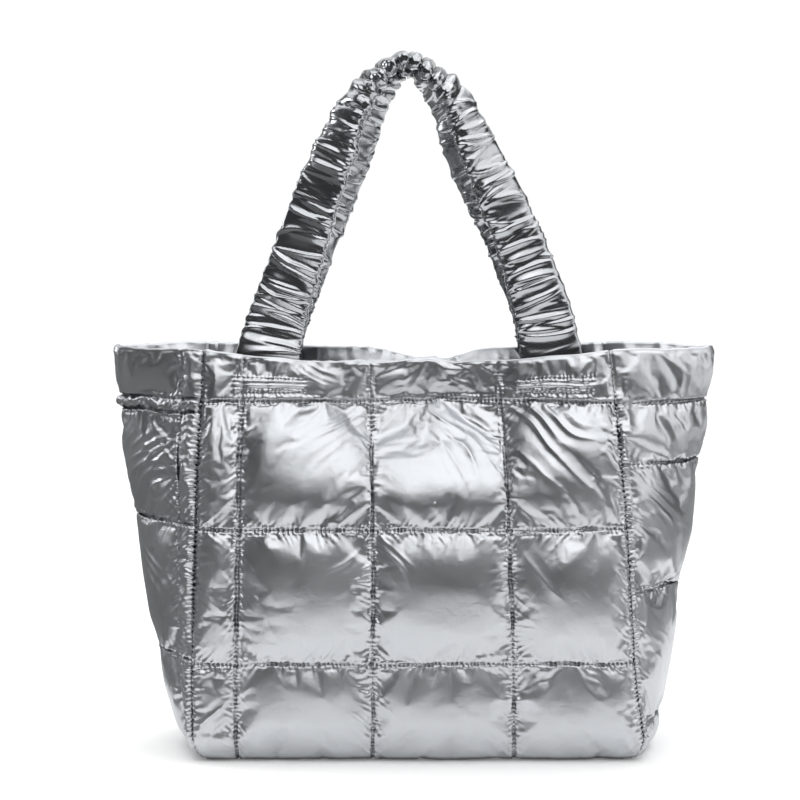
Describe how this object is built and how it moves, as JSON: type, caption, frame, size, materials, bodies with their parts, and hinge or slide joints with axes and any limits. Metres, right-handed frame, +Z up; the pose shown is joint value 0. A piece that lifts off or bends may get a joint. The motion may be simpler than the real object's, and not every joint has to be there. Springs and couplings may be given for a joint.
{
  "type": "quilted satin tote handbag",
  "caption": "Open tote handbag of padded, quilted silver satin panels with folded-out side gussets and a pair of ruched satin carrying handles.",
  "frame": {"origin": "on the surface that the bag stands on, under the middle of its base", "axes": "+Z up through the mouth and the handles, front towards -Y, +X to the right as seen from the front"},
  "size_m": [0.4204, 0.168, 0.487],
  "materials": {
    "satin": "calendered silver satin, padded and quilted"
  },
  "bodies": {
    "root": {"front_panel": "satin", "back_panel": "satin", "left_gusset": "satin", "right_gusset": "satin", "base_panel": "satin", "front_handle": "satin", "back_handle": "satin"}
  },
  "joints": []
}
